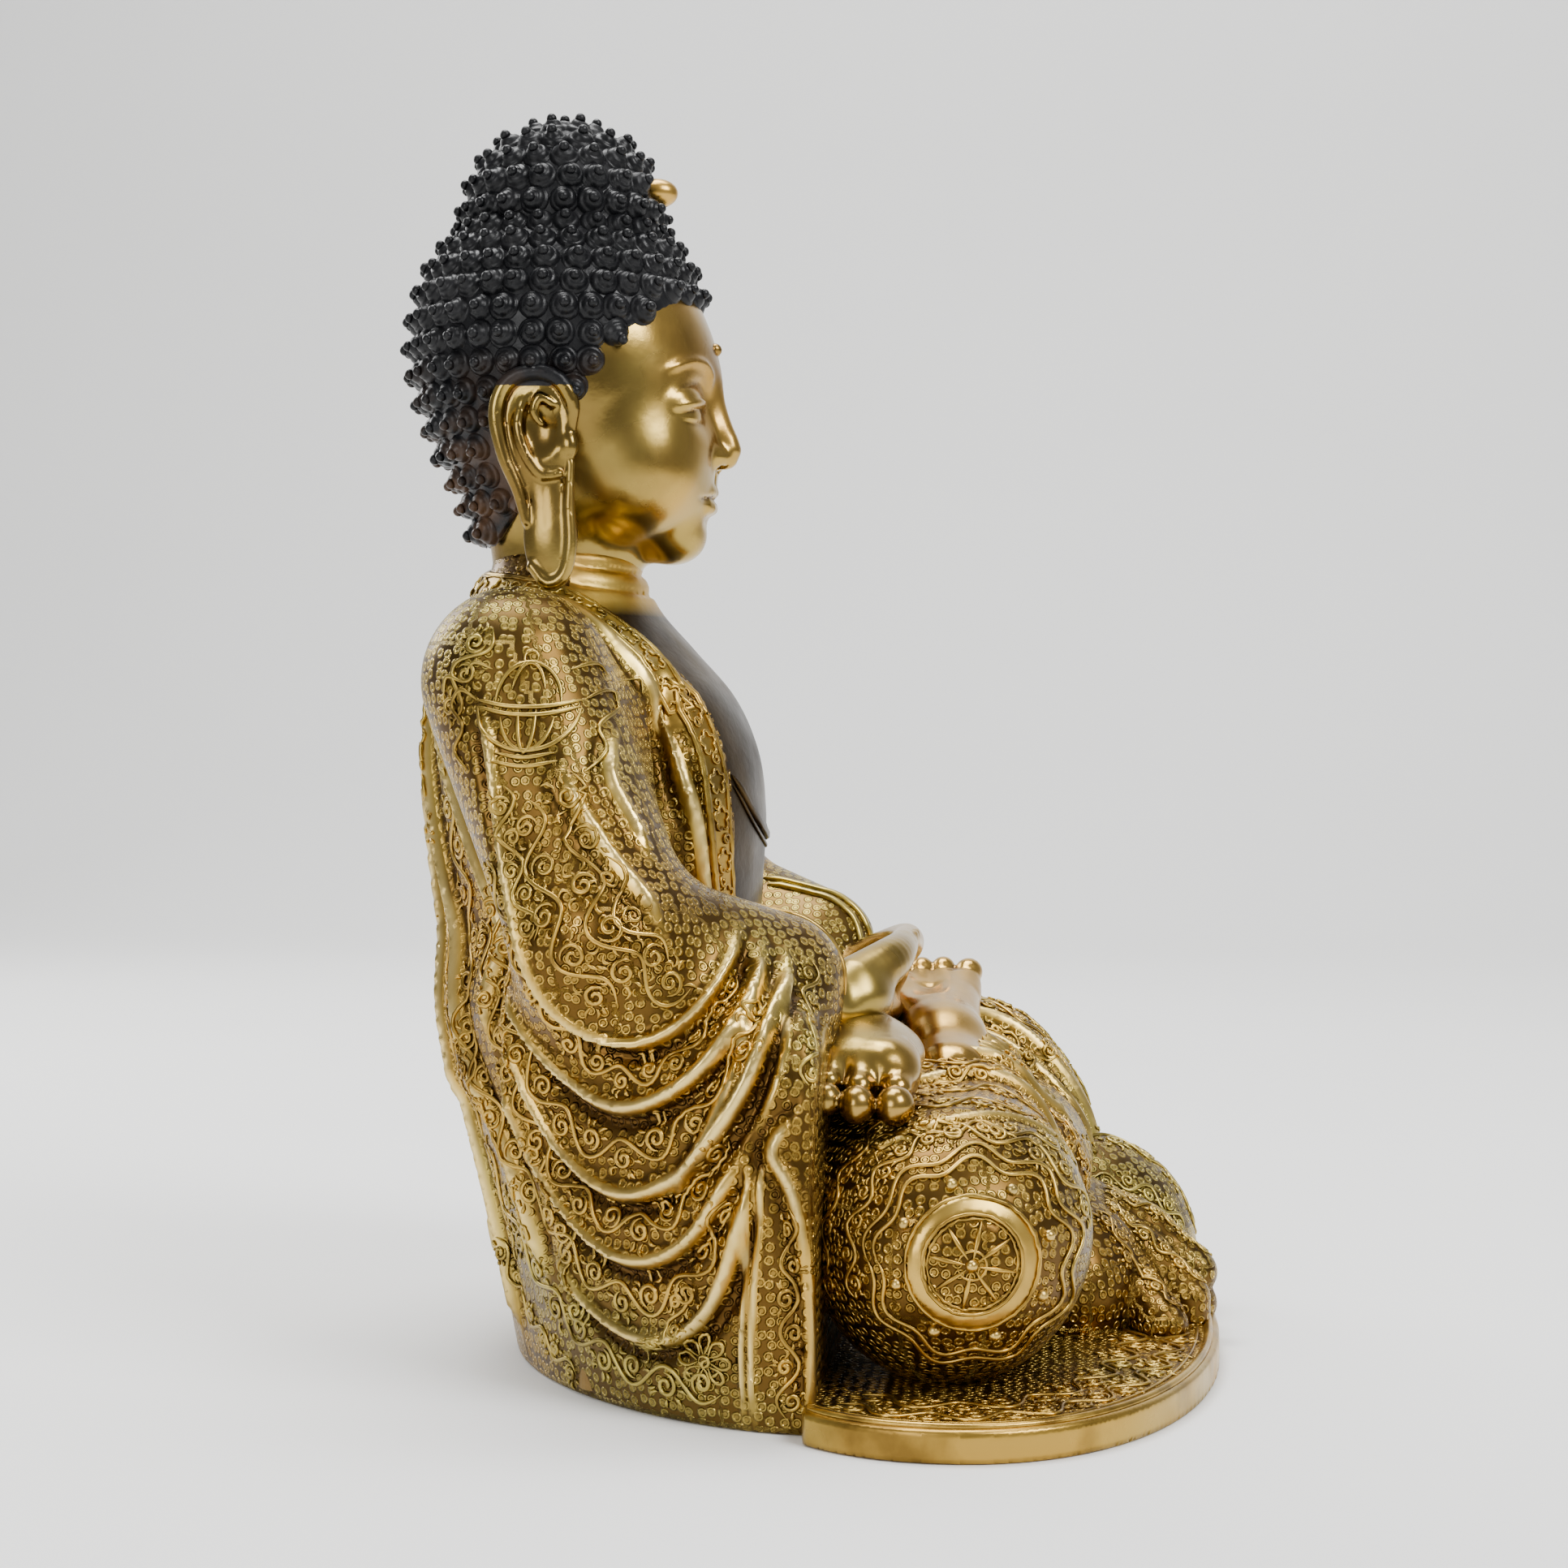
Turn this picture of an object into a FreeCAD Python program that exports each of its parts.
import FreeCAD, Part
import Sketcher
import math
import os

# Seated statue of cast brass, about 400 mm tall: millimetres, +Z up, the figure faces -Y.
# The origin is under the middle of the whole figure, on the surface it stands on.

doc = FreeCAD.newDocument("seated_buddha")
sheet = doc.addObject("Spreadsheet::Sheet", "Dims")

# Each casting is lofted through level ellipses: height, centre line, half width, half depth.
ROBE_SECTIONS = [
    (0, -15, 122, 110),
    (50, 0, 124, 103),
    (100, 28, 121, 84),
    (150, 60, 113, 60),
    (193, 74, 99, 50),
    (220, 78, 85, 41),
    (238, 79, 62, 32),
    (250, 80, 36, 30),
]
CHEST_SECTIONS = [
    (112, 70, 62, 58),
    (150, 70, 62, 55),
    (172, 70, 64, 54),
    (200, 72, 64, 52),
    (220, 76, 54, 46),
    (238, 79, 40, 35),
    (246, 80, 31, 26),
]
NECK_SECTIONS = [
    (246.3, 80, 27, 25),
    (257, 79, 24, 23.5),
    (268, 79, 23, 23),
]

DRIVING = {
    "cast_wall": 4,
    "plate_wall": 3,
    "seam": 0.3,
    "front_edge": -13,
    "wrist_level": 126,
    "web_foot": 2.3,
    "web_top": 94,
    "sleeve_x": 80.5,
    "sleeve_y": 9,
    "sleeve_level": 130,
    "sleeve_radius": 27,
    "sleeve_length": 47,
    "sleeve_wall": 6.5,
    "pin_x": 61,
    "pin_length": 34,
    "pin_radius": 2.2,
    "pin_rise": 1.5,
    "breast_level": 168,
    "collar_top_half": 24,
    "collar_mid_half": 33,
    "collar_low_half": 27,
    "collar_width": 10,
    "collar_stand": 2,
    "pad_half_width": 150,
    "pad_half_depth": 79,
    "pad_centre": -55,
    "pad_height": 9.5,
    "knee_x": 74,
    "knee_y": -49,
    "knee_half_width": 50,
    "knee_half_depth": 42,
    "knee_right_top": 86,
    "knee_left_top": 103,
    "shin_y": -48,
    "shin_level": 50,
    "shin_radius": 33,
    "foot_y": -30,
    "skull_y": 82,
    "skull_level": 322,
    "skull_half_width": 44,
    "skull_half_depth": 44,
    "skull_half_height": 47,
    "face_y": 72,
    "face_level": 300,
    "face_half_width": 39,
    "face_half_depth": 43,
    "face_half_height": 48,
    "hair_thickness": 3,
    "bun_y": 81,
    "bun_level": 364,
    "bun_radius": 31,
    "jewel_y": 47,
    "jewel_level": 370,
    "jewel_radius": 6.5,
    "urna_radius": 1.6,
    "curl_radius": 4.2,
    "curl_length": 5.2,
    "curl_tip": 1.1,
    "curl_pitch": 9,
    "ear_x": 49,
    "ear_y": 80,
    "ear_level": 279,
    "ear_half_depth": 13,
    "ear_half_height": 32,
    "ear_half_width": 5,
    "hand_level": 113,
    "hand_y": -9,
    "hand_step": 8,
    "finger_radius": 5,
    "cover_thickness": 1.5,
    "cover_screw_radius": 2,
    "cover_screw_head": 3.6,
    "lug_radius": 7,
    "lug_height": 14,
}


def store_dimensions():
    """Write every driving dimension to the sheet as plain text, each with an alias."""
    cells = dict(DRIVING)
    for name, rows in (("robe", ROBE_SECTIONS), ("chest", CHEST_SECTIONS), ("neck", NECK_SECTIONS)):
        for index, row in enumerate(rows):
            for field, value in zip(("level", "centre", "half_width", "half_depth"), row):
                cells[f"{name}_{field}_{index}"] = value
    for line, (alias, value) in enumerate(cells.items(), start=1):
        sheet.set(f"A{line}", alias)
        sheet.set(f"B{line}", str(value))
        sheet.setAlias(f"B{line}", alias)
    doc.recompute()


store_dimensions()
subparts = []


def dim(alias):
    """A driving dimension as a number."""
    return float(sheet.get(alias))


def bind(feature, **expressions):
    """Bind properties of a feature to expressions over the sheet."""
    for path, expression in expressions.items():
        feature.setExpression(path.replace("__", "."), expression)


def place(feature, x="0", y="0", z="0"):
    """Bind the position of a feature, in millimetres."""
    bind(feature, Placement__Base__x=x, Placement__Base__y=y, Placement__Base__z=z)


def finish(feature, label):
    """Give a finished sub-part its name."""
    feature.Label = label
    subparts.append(feature)
    return feature


def origin_plane(body, role):
    return next(item for item in body.Origin.OriginFeatures if item.Role == role)


def ellipse_sketch(body, name, level, centre, half_width, half_depth):
    """A level ellipse bound to four expressions, with its centre on the mirror plane."""
    sketch = body.newObject("Sketcher::SketchObject", name)
    sketch.AttachmentSupport = [(origin_plane(body, "XY_Plane"), "")]
    sketch.MapMode = "FlatFace"
    start = Part.Ellipse(FreeCAD.Vector(60, 0, 0), FreeCAD.Vector(0, 20, 0), FreeCAD.Vector(0, 0, 0))
    wide_axis_first = doc.Dims.evalExpression(f"{half_width} - ({half_depth})") >= 0
    if not wide_axis_first:
        start = Part.Ellipse(FreeCAD.Vector(0, 60, 0), FreeCAD.Vector(20, 0, 0), FreeCAD.Vector(0, 0, 0))
    curve = sketch.addGeometry(start)
    sketch.exposeInternalGeometry(curve)
    major, minor = (half_width, half_depth) if wide_axis_first else (half_depth, half_width)
    sketch.addConstraint(Sketcher.Constraint("Horizontal" if wide_axis_first else "Vertical", curve + 1))
    sketch.addConstraint(Sketcher.Constraint("PointOnObject", curve, 3, -2))
    for label, constraint, expression in (
        ("major", Sketcher.Constraint("Distance", curve + 1, 120), f"2 * ({major}) * 1mm"),
        ("minor", Sketcher.Constraint("Distance", curve + 2, 40), f"2 * ({minor}) * 1mm"),
        ("centre", Sketcher.Constraint("DistanceY", -1, 1, curve, 3, 1), f"({centre}) * 1mm"),
    ):
        index = sketch.addConstraint(constraint)
        sketch.renameConstraint(index, label)
        sketch.setExpression(f"Constraints.{label}", expression)
    sketch.setExpression("AttachmentOffset.Base.z", level)
    return sketch


def section_loft(name, table, count, inset="0", drop="0"):
    """A closed form lofted through the sections of one table, drawn in by inset."""
    body = doc.addObject("PartDesign::Body", name)
    sketches = []
    for index in range(count):
        level = f"Dims.{table}_level_{index}"
        if index == 0:
            level = f"{level} - ({drop})"
        if index == count - 1:
            level = f"{level} + ({drop})"
        sketches.append(ellipse_sketch(
            body, f"{name}_section_{index}", level, f"Dims.{table}_centre_{index}",
            f"Dims.{table}_half_width_{index} - ({inset})", f"Dims.{table}_half_depth_{index} - ({inset})"))
    doc.recompute()
    loft = body.newObject("PartDesign::AdditiveLoft", f"{name}_loft")
    loft.Profile = sketches[0]
    loft.Sections = sketches[1:]
    loft.Ruled = True
    return body


def prism(name, role, points, length, midplane=False, offset="0"):
    """A polygon on an origin plane, each corner bound to two expressions, padded by length."""
    body = doc.addObject("PartDesign::Body", name)
    sketch = body.newObject("Sketcher::SketchObject", f"{name}_outline")
    sketch.AttachmentSupport = [(origin_plane(body, role), "")]
    sketch.MapMode = "FlatFace"
    sketch.setExpression("AttachmentOffset.Base.z", offset)
    corners = [(doc.Dims.evalExpression(u), doc.Dims.evalExpression(v)) for u, v in points]
    for index, corner in enumerate(corners):
        following = corners[(index + 1) % len(corners)]
        sketch.addGeometry(Part.LineSegment(FreeCAD.Vector(*corner, 0), FreeCAD.Vector(*following, 0)))
    for index in range(len(corners)):
        sketch.addConstraint(Sketcher.Constraint("Coincident", index, 2, (index + 1) % len(corners), 1))
    for index, (across, up) in enumerate(points):
        for kind, expression, value in (("DistanceX", across, corners[index][0]),
                                        ("DistanceY", up, corners[index][1])):
            number = sketch.addConstraint(Sketcher.Constraint(kind, -1, 1, index, 1, value))
            sketch.renameConstraint(number, f"{kind}_{index}")
            sketch.setExpression(f"Constraints.{kind}_{index}", f"({expression}) * 1mm")
    doc.recompute()
    pad = body.newObject("PartDesign::Pad", f"{name}_pad")
    pad.Profile = sketch
    pad.Midplane = midplane
    bind(pad, Length=length)
    return body


def ellipsoid(name, centre, radii):
    """An ellipsoid with centre and half sizes along X, Y and Z as expressions."""
    form = doc.addObject("Part::Ellipsoid", name)
    form.Angle1 = -90
    form.Angle2 = 90
    form.Angle3 = 360
    bind(form, Radius2=radii[0], Radius3=radii[1], Radius1=radii[2])
    place(form, *centre)
    return form


def grown(radii, amount):
    """Half sizes with the same amount added to each."""
    return tuple(f"{radius} + ({amount})" for radius in radii)


def block(name, low, size):
    form = doc.addObject("Part::Box", name)
    bind(form, Length=size[0], Width=size[1], Height=size[2])
    place(form, *low)
    return form


def cylinder(name, base, radius, height):
    form = doc.addObject("Part::Cylinder", name)
    bind(form, Radius=radius, Height=height)
    place(form, *base)
    return form


def cut(name, base, tool):
    result = doc.addObject("Part::Cut", name)
    result.Base = base
    result.Tool = tool
    return result


def common(name, first, second):
    result = doc.addObject("Part::Common", name)
    result.Base = first
    result.Tool = second
    return result


def fuse(name, forms):
    result = doc.addObject("Part::MultiFuse", name)
    result.Shapes = forms
    return result


# Robe: one hollow casting of back, shoulders and upper arms.
FRONT_CUT = [
    ("-260", "-20"),
    ("Dims.front_edge", "-20"),
    ("Dims.front_edge", "Dims.wrist_level"),
    ("10", "Dims.wrist_level + 22"),
    ("10", "300"),
    ("-260", "300"),
]


def opening_outline(extra):
    """The V of the robe's front, from the lap to the neck, grown sideways by extra."""
    top = f"Dims.collar_top_half + ({extra})"
    middle = f"Dims.collar_mid_half + ({extra})"
    low = f"Dims.collar_low_half + ({extra})"
    return [
        (f"-({low})", "Dims.chest_level_0"),
        (low, "Dims.chest_level_0"),
        (middle, "Dims.breast_level + 24"),
        (top, "260"),
        (f"-({top})", "260"),
        (f"-({middle})", "Dims.breast_level + 24"),
    ]


robe_outer = section_loft("robe_outer", "robe", len(ROBE_SECTIONS))
robe_inner = section_loft("robe_inner", "robe", len(ROBE_SECTIONS), "Dims.cast_wall", "1")
front_cutter = prism("front_cutter", "YZ_Plane", FRONT_CUT, "400", midplane=True)
wide_opening = prism("wide_opening", "XZ_Plane",
                     opening_outline("Dims.collar_width + Dims.seam"), "200", offset="-80")

# Forearm sleeves: hollow rolls let into the robe, open towards the lap for the wrists.
SLEEVE_LEVELS = {"right": "Dims.sleeve_level", "left": "Dims.sleeve_level - Dims.hand_step"}
HAND_LEVELS = {"right": "Dims.hand_level", "left": "Dims.hand_level - Dims.hand_step"}


def roll(name, middle, radius, length):
    """A round bar along X with its middle at the given point."""
    bar = cylinder(name, (f"{middle[0]} - ({length}) / 2", *middle[1:]), radius, length)
    bar.Placement.Rotation = FreeCAD.Rotation(FreeCAD.Vector(0, 1, 0), 90)
    return bar


def wrist_pin(side, sign):
    """A dowel from the hand into the thick lower wall of the sleeve."""
    middle = (f"{sign} * Dims.pin_x", "Dims.hand_y", f"{HAND_LEVELS[side]} + Dims.pin_rise")
    return roll(f"wrist_pin_{side}", middle, "Dims.pin_radius", "Dims.pin_length")


def sleeve(side, sign, pin):
    """One sleeve, and the room that it takes up in the robe."""
    level = SLEEVE_LEVELS[side]
    outer = roll(f"sleeve_outer_{side}", (f"{sign} * Dims.sleeve_x", "Dims.sleeve_y", level),
                 "Dims.sleeve_radius", "Dims.sleeve_length")
    inner = roll(f"sleeve_inner_{side}",
                 (f"{sign} * (Dims.sleeve_x - Dims.cast_wall)", "Dims.sleeve_y", level),
                 "Dims.sleeve_radius - Dims.sleeve_wall", "Dims.sleeve_length")
    wall = cut(f"sleeve_wall_{side}", outer, inner)
    finish(cut(f"sleeve_cut_{side}", wall, pin), f"sleeve_{side}")
    reach = "Dims.sleeve_radius + Dims.seam"
    return block(f"sleeve_room_{side}",
                 (f"{sign} * 85 - 40", f"Dims.sleeve_y - ({reach}) - 20", f"{level} - ({reach})"),
                 ("80", f"2 * ({reach}) + 20", f"2 * ({reach})"))


wrist_pins = {"right": wrist_pin("right", "-1"), "left": wrist_pin("left", "1")}
robe_left_fitted = cut("robe_left_fitted", robe_outer, sleeve("left", "1", wrist_pins["left"]))
robe_fitted = cut("robe_fitted", robe_left_fitted, sleeve("right", "-1", wrist_pins["right"]))
robe_behind = cut("robe_behind", robe_fitted, front_cutter)
robe_opened = cut("robe_opened", robe_behind, wide_opening)
finish(cut("robe_shell_cut", robe_opened, robe_inner), "robe_shell")

# Front web: a plate across the inside of the robe, behind the lap.
web_block = block("web_block", ("-150", "Dims.front_edge", "Dims.web_foot"),
                  ("300", "Dims.cast_wall", "Dims.web_top - Dims.web_foot"))
finish(common("front_web_form", robe_inner, web_block), "front_web")

# Chest: a bare plate seen in the V, and the collar band that frames it.
chest_outer = section_loft("chest_outer", "chest", len(CHEST_SECTIONS))
chest_inner = section_loft("chest_inner", "chest", len(CHEST_SECTIONS), "Dims.plate_wall", "1")
chest_wall = cut("chest_wall", chest_outer, chest_inner)
narrow_opening = prism("narrow_opening", "XZ_Plane", opening_outline("0 - Dims.seam"), "200", offset="-80")
finish(common("chest_front_form", chest_wall, narrow_opening), "chest_front")

collar_outer = section_loft("collar_outer", "chest", len(CHEST_SECTIONS), "0 - Dims.collar_stand")
collar_wall = cut("collar_wall", collar_outer, chest_inner)
band_outer = prism("band_outer", "XZ_Plane", opening_outline("Dims.collar_width"), "200", offset="-80")
band_inner = prism("band_inner", "XZ_Plane", opening_outline("0"), "200", offset="-80")
band = cut("band", band_outer, band_inner)
finish(common("collar_band_form", collar_wall, band), "collar_band")

# Neck: a tube standing on the collar, with the head's spigot inside it.
neck_outer = section_loft("neck_outer", "neck", len(NECK_SECTIONS))
neck_inner = section_loft("neck_inner", "neck", len(NECK_SECTIONS), "Dims.plate_wall", "1")
neck_wall = cut("neck_wall", neck_outer, neck_inner)

# Head: a hollow casting of skull and face, with painted hair over it.
SKULL = ("0", "Dims.skull_y", "Dims.skull_level")
SKULL_RADII = ("Dims.skull_half_width", "Dims.skull_half_depth", "Dims.skull_half_height")
FACE = ("0", "Dims.face_y", "Dims.face_level")
FACE_RADII = ("Dims.face_half_width", "Dims.face_half_depth", "Dims.face_half_height")
skull = ellipsoid("skull", SKULL, SKULL_RADII)
face = ellipsoid("face", FACE, FACE_RADII)
head_outer = fuse("head_outer", [skull, face])
skull_hollow = ellipsoid("skull_hollow", SKULL, grown(SKULL_RADII, "0 - Dims.plate_wall"))
face_hollow = ellipsoid("face_hollow", FACE, grown(FACE_RADII, "0 - Dims.plate_wall"))
neck_hole = cylinder("neck_hole", ("0", "Dims.neck_centre_2", "240"), "19", "30")
head_hollow = fuse("head_hollow", [skull_hollow, face_hollow, neck_hole])
finish(cut("head_cut", head_outer, head_hollow), "head")
finish(cut("neck_cut", neck_wall, head_outer), "neck")

hair_outer = ellipsoid("hair_outer", SKULL, grown(SKULL_RADII, "Dims.hair_thickness"))
HAIRLINE = [
    ("25", "345"),
    ("62", "318"),
    ("66", "300"),
    ("104", "262"),
    ("104", "235"),
    ("-60", "235"),
    ("-60", "345"),
]
below_hairline = prism("below_hairline", "YZ_Plane", HAIRLINE, "200", midplane=True)
hair_layer = cut("hair_layer", hair_outer, head_outer)
finish(cut("hair_cap_cut", hair_layer, below_hairline), "hair_cap")
bun_form = ellipsoid("bun_form", ("0", "Dims.bun_y", "Dims.bun_level"), ("Dims.bun_radius",) * 3)
hair_trim = ellipsoid("hair_trim", SKULL, grown(SKULL_RADII, "Dims.hair_thickness + Dims.seam"))
finish(cut("ushnisha_cut", bun_form, hair_trim), "ushnisha_dome")


def curl(point, outward):
    """A blunt cone standing on the hair, for one snail-shell curl."""
    return Part.makeCone(dim("curl_radius"), dim("curl_tip"), dim("curl_length"), point, outward)


def curls_on(centre, radii, angles, first_shift, keep):
    """Rows of curls round an ellipsoid; keep says whether a curl belongs to the hair."""
    cones = []
    for row, tilt in enumerate(angles):
        ring_x = radii[0] * math.cos(tilt)
        ring_y = radii[1] * math.cos(tilt)
        count = max(1, int(math.pi * (ring_x + ring_y) / dim("curl_pitch")))
        for number in range(count):
            turn = 2 * math.pi * (number + first_shift * (row % 2)) / count
            local = FreeCAD.Vector(ring_x * math.sin(turn), -ring_y * math.cos(turn),
                                   radii[2] * math.sin(tilt))
            outward = FreeCAD.Vector(*(local[i] / radii[i] ** 2 for i in range(3))).normalize()
            point = centre + local
            if keep(point, outward):
                cones.append(curl(point - outward * 0.15, outward))
    return cones


def off_jewel(point, outward):
    """Clear of the jewel at the front of the bun."""
    jewel = FreeCAD.Vector(0, dim("jewel_y"), dim("jewel_level"))
    return (point + outward * 2 - jewel).Length > dim("jewel_radius") + dim("curl_radius")


def hair_point(point, outward):
    """Behind the hairline, off the ears and clear of the bun."""
    behind = point.y - 25 > (345 - point.z) * 1.37 if point.z > 318 else point.y > 66 + (300 - point.z)
    ear = abs(point.x) > 36 and point.z < 312 and 62 < point.y < 100
    bun = FreeCAD.Vector(0, dim("bun_y"), dim("bun_level"))
    off_bun = (point - bun).Length > dim("bun_radius") + 3
    return behind and not ear and off_bun and off_jewel(point, outward)


def curl_group(label, centre, radii, angles, keep):
    group = doc.addObject("Part::Feature", label)
    group.Shape = Part.makeCompound(curls_on(centre, radii, angles, 0.5, keep))
    return finish(group, label)


cap_radii = [dim(name) + dim("hair_thickness")
             for name in ("skull_half_width", "skull_half_depth", "skull_half_height")]
curl_step = dim("curl_pitch") / cap_radii[2]
curl_group("head_curls", FreeCAD.Vector(0, dim("skull_y"), dim("skull_level")), cap_radii,
           [math.radians(-66) + curl_step * row for row in range(14)], hair_point)
bun_step = dim("curl_pitch") / dim("bun_radius")
curl_group("ushnisha_curls", FreeCAD.Vector(0, dim("bun_y"), dim("bun_level")), [dim("bun_radius")] * 3,
           [math.radians(8) + bun_step * row for row in range(5)] + [math.pi / 2],
           off_jewel)

jewel_form = ellipsoid("jewel_form", ("0", "Dims.jewel_y", "Dims.jewel_level"), ("Dims.jewel_radius",) * 3)
jewel_clear = cut("jewel_clear", jewel_form, bun_form)
finish(cut("jewel_cut", jewel_clear, hair_trim), "ushnisha_jewel")
urna_form = ellipsoid("urna_form", ("0", "Dims.face_y - Dims.face_half_depth + 1.2", "Dims.face_level + 12"),
                      ("Dims.urna_radius",) * 3)
finish(cut("urna_cut", urna_form, head_outer), "urna_bead")

# Ears: long lobes set against the sides of the head.
for side, sign in (("right", "-1"), ("left", "1")):
    ear_form = ellipsoid(f"ear_form_{side}", (f"{sign} * (Dims.ear_x - 4)", "Dims.ear_y", "Dims.ear_level"),
                         ("Dims.ear_half_width + 2", "Dims.ear_half_depth", "Dims.ear_half_height"))
    ear_clear = cut(f"ear_clear_{side}", ear_form, head_outer)
    finish(cut(f"ear_cut_{side}", ear_clear, hair_trim), f"ear_{side}")

# Base pad: the spread hem that the knees rest on, a flat plate.
pad_form = doc.addObject("PartDesign::Body", "pad_form")
pad_outline = ellipse_sketch(pad_form, "pad_outline", "0", "Dims.pad_centre",
                             "Dims.pad_half_width", "Dims.pad_half_depth")
pad_plate = pad_form.newObject("PartDesign::Pad", "pad_plate")
pad_plate.Profile = pad_outline
bind(pad_plate, Length="Dims.pad_height")
robe_space = block("robe_space", ("-200", "Dims.front_edge - Dims.seam", "-1"), ("400", "200", "60"))
finish(cut("hem_pad_cut", pad_form, robe_space), "hem_pad")


# Knees: hollow draped domes, open below, standing on the pad against the robe's front edges.
lap_limit = block("lap_limit", ("-200", "-200", "Dims.pad_height"),
                  ("400", "200 + Dims.front_edge - Dims.seam", "200"))


# The start line of each round face is turned to the outer side, away from where the legs meet.
SEAM_TURNS = {"right": 180, "left": 0}


def knee(side, sign, top):
    centre = (f"{sign} * Dims.knee_x", "Dims.knee_y", f"{top} / 2 + 2")
    radii = ("Dims.knee_half_width", "Dims.knee_half_depth", f"{top} / 2 - 2")
    outer = ellipsoid(f"knee_outer_{side}", centre, radii)
    inner = ellipsoid(f"knee_inner_{side}", centre, grown(radii, "0 - Dims.cast_wall"))
    for form in (outer, inner):
        form.Placement.Rotation = FreeCAD.Rotation(FreeCAD.Vector(0, 0, 1), SEAM_TURNS[side])
    wall = cut(f"knee_wall_{side}", outer, inner)
    finish(common(f"knee_form_{side}", wall, lap_limit), f"knee_{side}")
    return outer


knee_right_outer = knee("right", "-1", "Dims.knee_right_top")
knee_left_outer = knee("left", "1", "Dims.knee_left_top")
knees = fuse("knees", [knee_right_outer, knee_left_outer])


SHIN_MIDDLE = ("0", "Dims.shin_y", "Dims.shin_level")
shin_form = roll("shin_form", SHIN_MIDDLE, "Dims.shin_radius", "108")
shin_hollow = roll("shin_hollow", SHIN_MIDDLE, "Dims.shin_radius - Dims.cast_wall", "108")
shin_wall = cut("shin_wall", shin_form, shin_hollow)
shin_limited = common("shin_limited", shin_wall, lap_limit)
finish(cut("shin_drape_cut", shin_limited, knees), "shin_drape")

fan_form = ellipsoid("fan_form", ("0", "-92", "Dims.pad_height"), ("74", "42", "26"))
fan_limited = common("fan_limited", fan_form, lap_limit)
fan_clear = cut("fan_clear", fan_limited, fuse("fan_neighbours", [knees, shin_form]))
fan_hollow = ellipsoid("fan_hollow", ("0", "-92", "Dims.pad_height"), ("68", "36", "21"))
finish(cut("front_hem_cut", fan_clear, fan_hollow), "front_hem_folds")

# Feet: soles up on the opposite thighs.
FOOT_RADII = ("33", "16", "8")
for side, centre in (("right", ("45", "Dims.foot_y - 12", "Dims.knee_left_top + 9")),
                     ("left", ("-70", "Dims.foot_y", "Dims.knee_right_top + 8"))):
    finish(ellipsoid(f"foot_form_{side}", centre, FOOT_RADII), f"foot_{side}")

# Hands: the right lies in the left, palms up; a dowel holds each wrist in its sleeve.
FINGER_ROWS = 4
hand_forms = {}
for side, sign in (("right", "-1"), ("left", "1")):
    level = HAND_LEVELS[side]
    forms = [ellipsoid(f"palm_{side}", (f"{sign} * 30", "Dims.hand_y", level), ("27", "16", "7"))]
    for row in range(FINGER_ROWS):
        forms.append(ellipsoid(f"finger_{side}_{row}",
                               (f"0 - {sign} * 2", f"Dims.hand_y + 12 - {row} * 8", level),
                               ("24", "Dims.finger_radius", "Dims.finger_radius - 0.8")))
    thumb_rise = {"right": "7.5", "left": "13"}[side]
    forms.append(ellipsoid(f"thumb_{side}", (f"{sign} * 17", "Dims.hand_y - 12", f"{level} + {thumb_rise}"),
                           ("17", "5", f"{thumb_rise} - 1.5")))
    room = block(f"hand_room_{side}", ("-80", "-60", f"{level} - 4"), ("160", "120", "40"))
    hand_room = common(f"hand_block_{side}", fuse(f"hand_form_{side}", forms), room)
    hand_forms[side] = cut(f"hand_drilled_{side}", hand_room, wrist_pins[side])
finish(hand_forms["right"], "hand_right")
finish(cut("hand_left_cut", hand_forms["left"], hand_forms["right"]), "hand_left")
finish(fuse("wrist_pin_group", list(wrist_pins.values())), "wrist_pins")

# Neck joint: the head's spigot drops into the neck and three screws hold it from behind the collar.
NECK_AXIS = ("0", "Dims.neck_centre_2")
spigot_outer = cylinder("spigot_outer", (*NECK_AXIS, "236"), "18.5", "34")
spigot_bore = cylinder("spigot_bore", (*NECK_AXIS, "235"), "14.5", "36")
spigot_wall = cut("spigot_wall", spigot_outer, spigot_bore)
neck_screw_forms = []
for number, bearing in enumerate((90, 210, 330)):
    screw = cylinder(f"neck_screw_{number}", (*NECK_AXIS, "250"), "1.8", "5.5")
    outward = FreeCAD.Vector(math.cos(math.radians(bearing)), math.sin(math.radians(bearing)), 0)
    screw.Placement.Rotation = FreeCAD.Rotation(FreeCAD.Vector(0, 0, 1), outward)
    place(screw, f"{15 * outward.x:.4f}", f"Dims.neck_centre_2 + ({15 * outward.y:.4f})", "250")
    neck_screw_forms.append(screw)
neck_screws = finish(fuse("neck_screw_group", neck_screw_forms), "neck_screws")
finish(cut("neck_spigot_cut", spigot_wall, neck_screws), "neck_spigot")

# Underside: a sheet cover let into the robe, screwed to lugs on the robe's wall.
cover_form = doc.addObject("PartDesign::Body", "cover_form")
cover_outline = ellipse_sketch(cover_form, "cover_outline", "0.5", "Dims.robe_centre_0",
                               "Dims.robe_half_width_0 - Dims.cast_wall - Dims.seam",
                               "Dims.robe_half_depth_0 - Dims.cast_wall - Dims.seam")
cover_plate = cover_form.newObject("PartDesign::Pad", "cover_plate")
cover_plate.Profile = cover_outline
bind(cover_plate, Length="Dims.cover_thickness")
cover_room = block("cover_room", ("-200", "Dims.front_edge + 1", "-1"), ("400", "200", "10"))
cover_half = common("cover_half", cover_form, cover_room)

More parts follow.
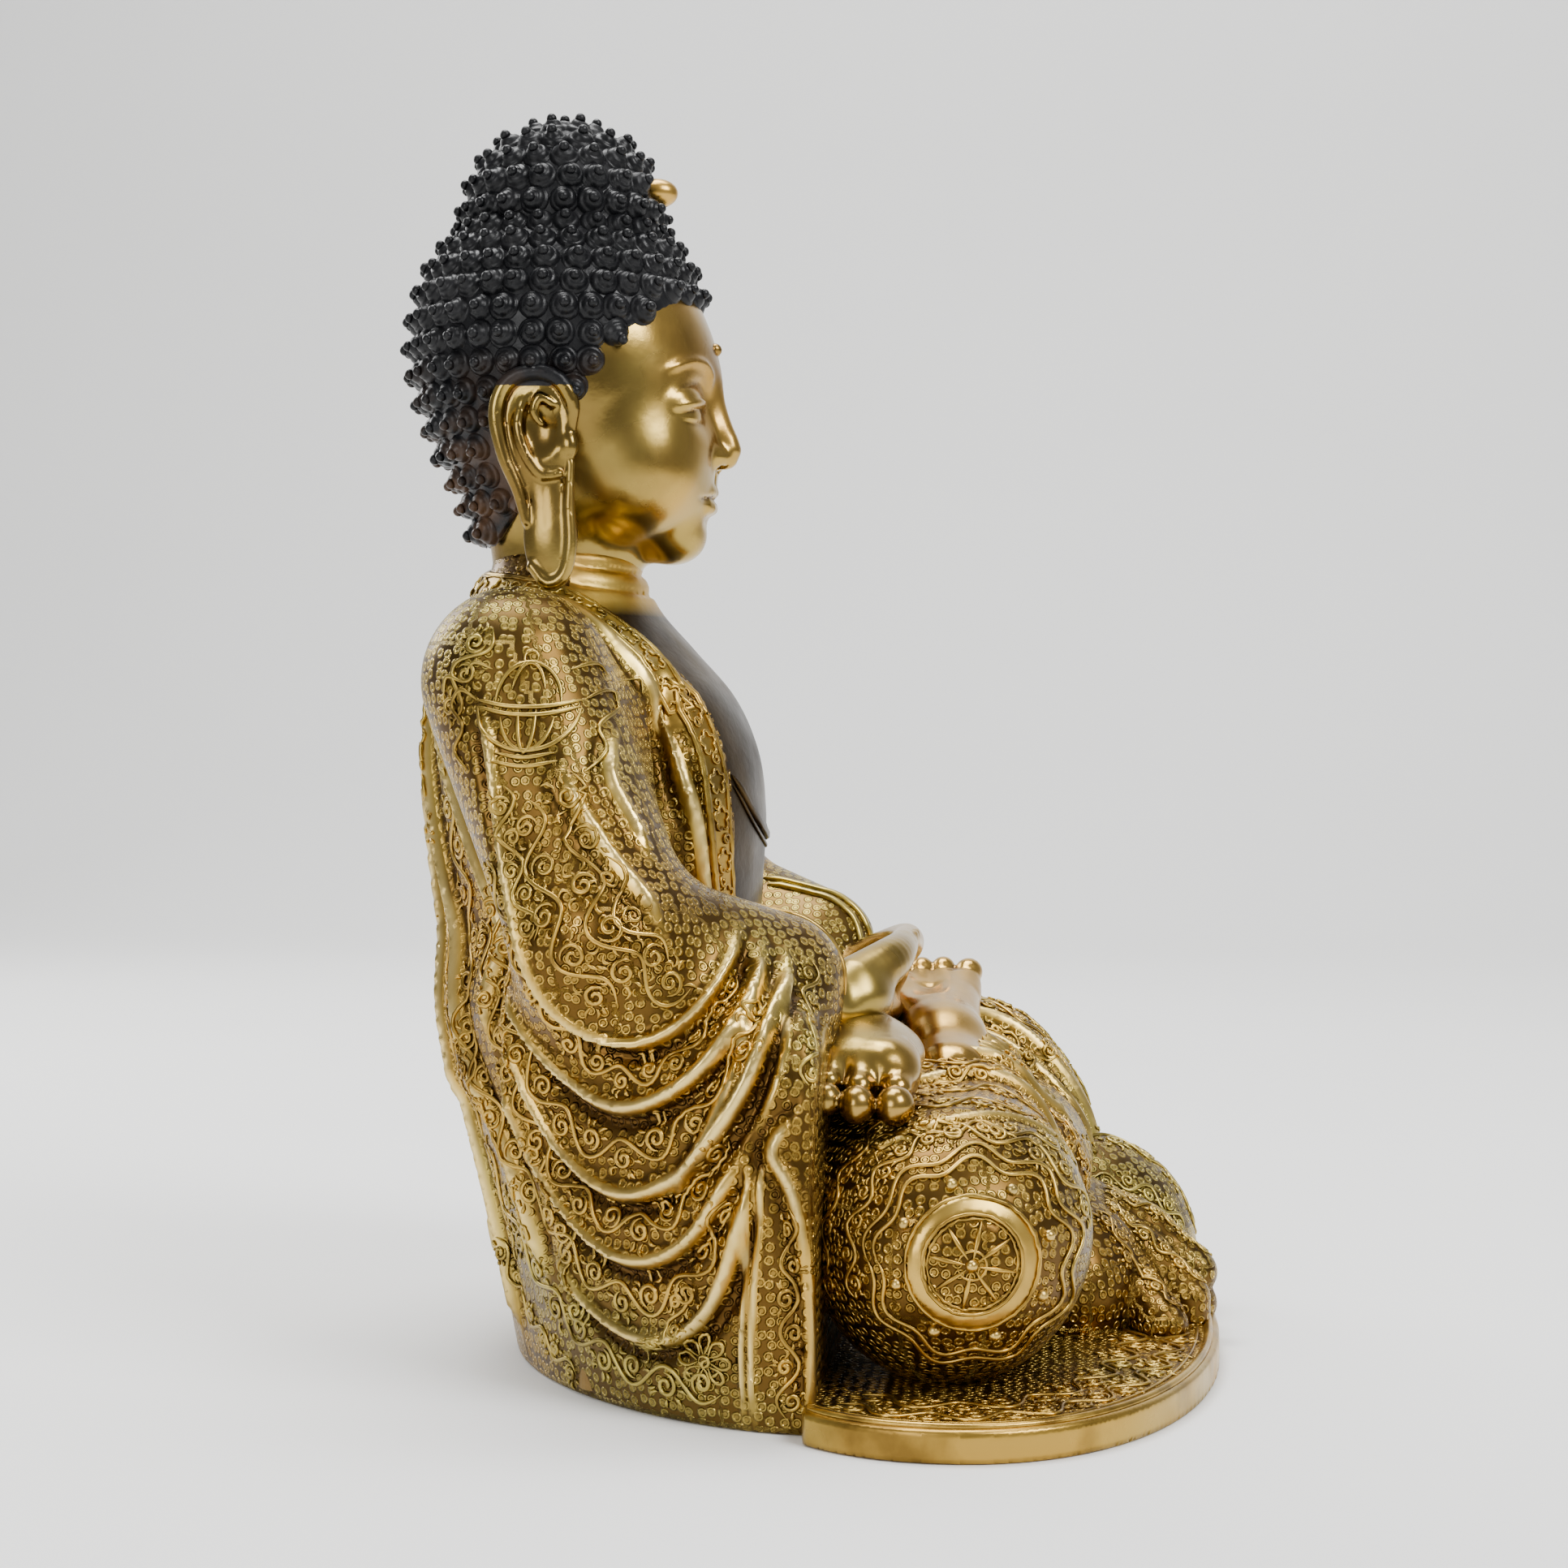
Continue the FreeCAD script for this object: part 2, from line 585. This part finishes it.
LUG_BEARINGS = (8, 40, 65, 90, 115, 140, 172)
LUG_INSET = 8
lug_forms = []
screw_forms = []
for number, bearing in enumerate(LUG_BEARINGS):
    along = math.cos(math.radians(bearing))
    back = math.sin(math.radians(bearing))
    reach = f"- Dims.cast_wall - {LUG_INSET}"
    spot = (f"(Dims.robe_half_width_0 {reach}) * ({along:.4f})",
            f"Dims.robe_centre_0 + (Dims.robe_half_depth_0 {reach}) * ({back:.4f}) + 4")
    lug_forms.append(cylinder(f"lug_{number}", (*spot, "Dims.cover_thickness + 0.6"),
                              "Dims.lug_radius + 3", "Dims.lug_height"))
    shank = cylinder(f"cover_shank_{number}", (*spot, "0.2"), "Dims.cover_screw_radius", "10")
    head_form = cylinder(f"cover_head_{number}", (*spot, "0.1"), "Dims.cover_screw_head", "1.6")
    screw_forms.append(fuse(f"cover_screw_{number}", [shank, head_form]))
cover_screws = finish(fuse("cover_screw_group", screw_forms), "cover_screws")
lugs_clear = cut("lugs_clear", fuse("lug_group", lug_forms), cover_screws)
lugs_inside = common("lugs_inside", lugs_clear, robe_inner)
finish(lugs_inside, "cover_lugs")
finish(cut("base_cover_cut", cover_half, cover_screws), "base_cover")

doc.recompute()


def check_and_write():
    """Refuse any failed object or bad sub-part, then write one STEP file for each sub-part."""
    failed = [item.Name for item in doc.Objects if {"Invalid", "Error"} & set(item.State)]
    if failed:
        raise RuntimeError(f"failed objects: {failed}")
    os.makedirs("parts", exist_ok=True)
    for part in subparts:
        shape = part.Shape
        if shape.isNull() or not shape.isValid() or not shape.Solids:
            raise RuntimeError(f"bad shape: {part.Label}")
        box = shape.BoundBox
        print(f"{part.Label:16s} solids {len(shape.Solids):4d}  volume {shape.Volume / 1000:8.1f} cm3  "
              f"x {box.XMin:7.1f} {box.XMax:7.1f}  y {box.YMin:7.1f} {box.YMax:7.1f}  "
              f"z {box.ZMin:6.1f} {box.ZMax:6.1f}")
        shape.exportStep(f"parts/{part.Label}.step")


check_and_write()
